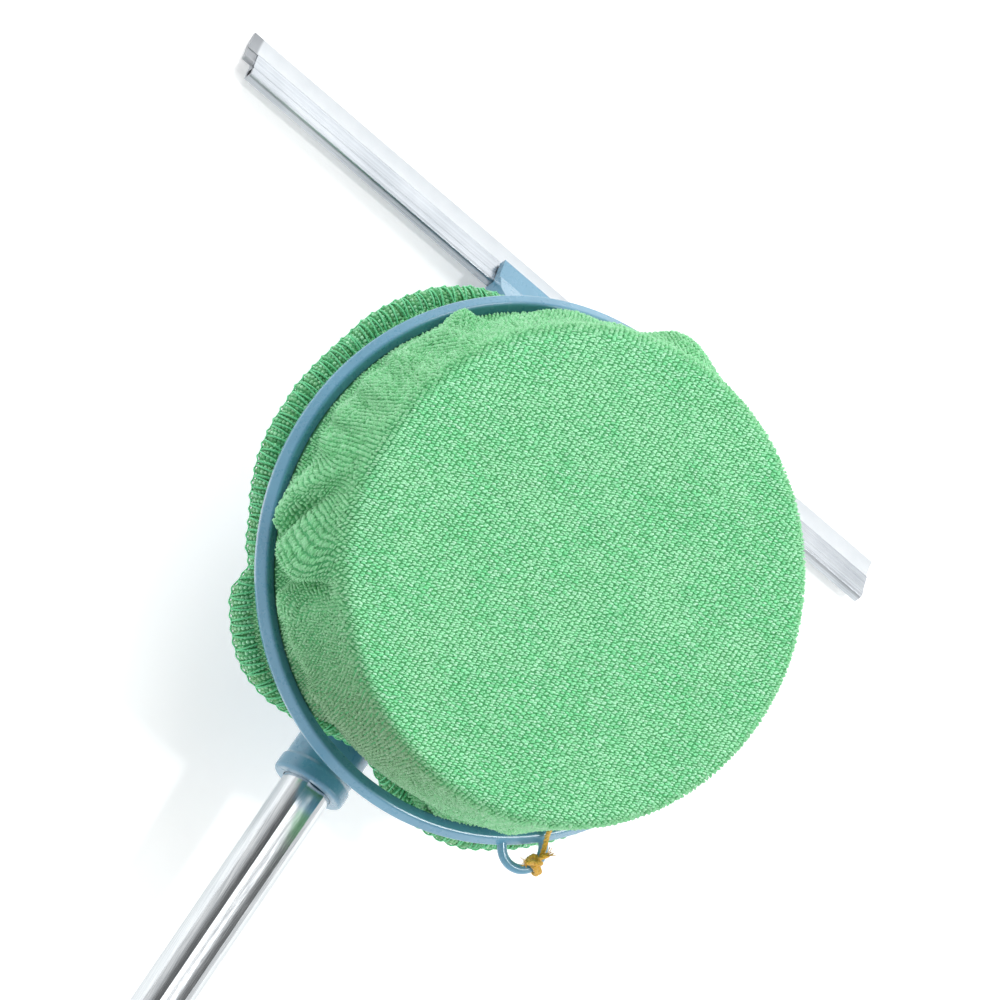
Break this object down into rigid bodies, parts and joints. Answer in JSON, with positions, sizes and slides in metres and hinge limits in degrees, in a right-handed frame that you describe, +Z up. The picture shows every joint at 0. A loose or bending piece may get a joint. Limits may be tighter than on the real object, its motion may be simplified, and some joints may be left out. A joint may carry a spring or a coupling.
{
  "type": "window scrubber",
  "caption": "Two-sided window washer: round microfibre pad clamped by a hoop, offset squeegee bar, and a telescopic pole with a twist lock and hanging hole.",
  "frame": {"origin": "centre of the floor area that the lying tool covers; the tool rests on its blade edge and the rim of its end cap", "axes": "+X along the squeegee bar, +Y along the pole towards the squeegee, +Z up, out of the pad"},
  "size_m": [0.355, 0.939, 0.1925],
  "materials": {
    "blue_plastic": "smooth moulded light steel blue plastic",
    "white_plastic": "smooth white bearing plastic",
    "microfibre": "looped green microfibre",
    "hem_thread": "overlocked darker green thread",
    "cord": "twisted yellow cord",
    "foam": "open-cell foam",
    "blade_rubber": "translucent whitish rubber",
    "grip_rubber": "soft matt grip rubber",
    "aluminium": "bright drawn aluminium",
    "steel": "plated steel fasteners"
  },
  "bodies": {
    "handle": {"lower_tube": "aluminium", "lock_collet": "white_plastic", "handle_grip": "grip_rubber", "end_cap": "blue_plastic"},
    "lock": {"lock_nut": "blue_plastic"},
    "head": {"clamp_hoop": "blue_plastic", "cloth_cover": "microfibre", "cover_hem": "hem_thread", "tether_cord": "cord", "tether_knot": "cord", "foam_disc": "foam", "backing_drum": "blue_plastic", "drum_screws": "steel", "neck_frame": "blue_plastic", "socket_rivet": "steel", "squeegee_holder": "blue_plastic", "holder_screws": "steel", "clamp_plate": "blue_plastic", "clamp_screws": "steel", "squeegee_channel": "aluminium", "squeegee_rubber": "blade_rubber", "upper_tube": "aluminium", "guide_bush": "white_plastic"}
  },
  "joints": [
    {"name": "pole_extension", "type": "slide", "parent": "handle", "child": "head", "axis": [0, 0.9986, 0.0528], "range_m": [-0.14, 0.22]},
    {"name": "twist_lock", "type": "hinge", "parent": "handle", "child": "lock", "pos_m": [0.0025, 0.04204, 0.04232], "axis": [0, 0.9986, 0.0528], "range_deg": [0, 150]}
  ]
}
